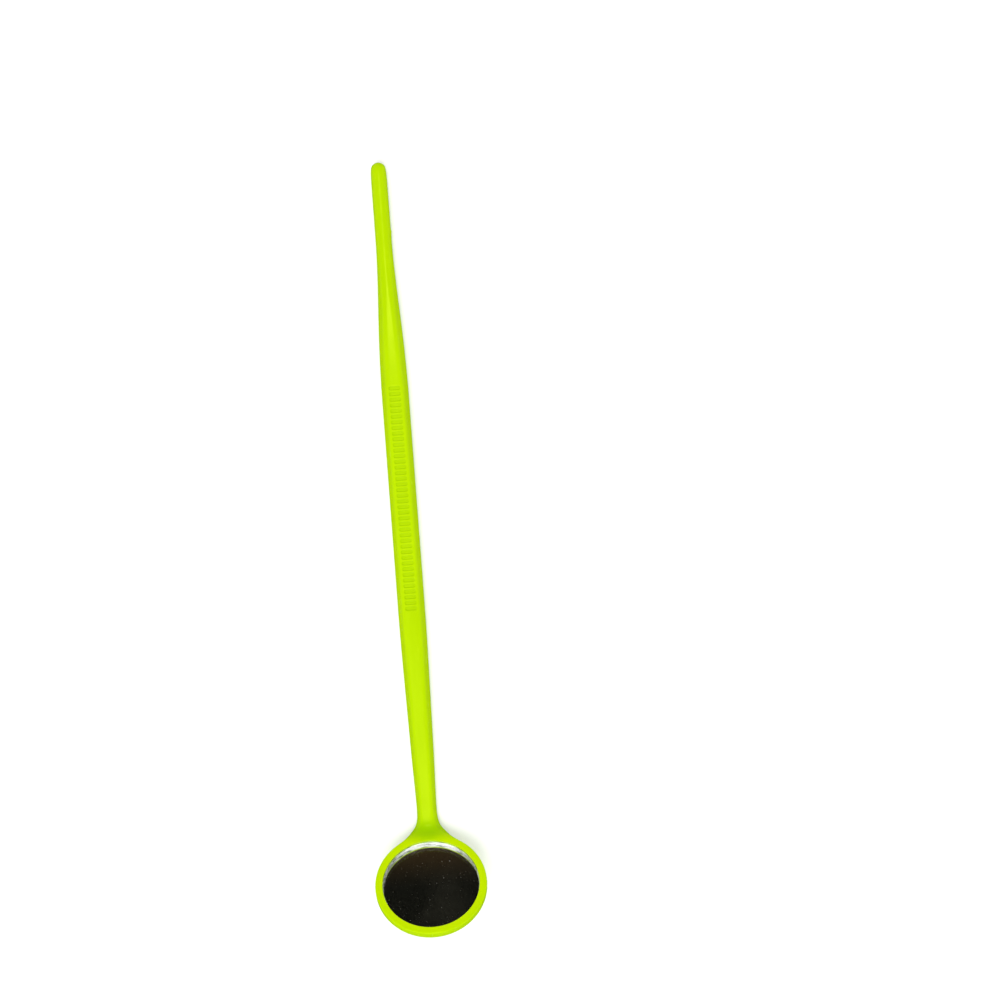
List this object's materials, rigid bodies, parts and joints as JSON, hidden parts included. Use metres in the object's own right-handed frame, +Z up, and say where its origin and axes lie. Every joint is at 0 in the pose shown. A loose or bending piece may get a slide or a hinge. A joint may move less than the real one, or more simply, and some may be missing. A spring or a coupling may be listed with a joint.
{
  "type": "mouth mirror",
  "caption": "Hand-held dental mouth mirror: a slim one-piece moulded plastic handle with a round cup that holds a tilted glass mirror disc.",
  "frame": {"origin": "centre of the bounding box at the underside, where the instrument lies on a table", "axes": "+X along the handle from the cup to the round tail, +Z up, the mirror faces up and back towards the handle"},
  "size_m": [0.1748, 0.0252, 0.0193],
  "materials": {
    "moulded_plastic": "glossy moulded, slightly translucent",
    "clear_glass": "polished, ground edge",
    "silver": "silvered",
    "backing_paint": "matte paint",
    "adhesive": "cured glue"
  },
  "bodies": {
    "root": {"handle": "moulded_plastic", "mirror_glass": "clear_glass", "silver_coating": "silver", "backing_paint": "backing_paint", "adhesive_pad": "adhesive"}
  },
  "joints": []
}
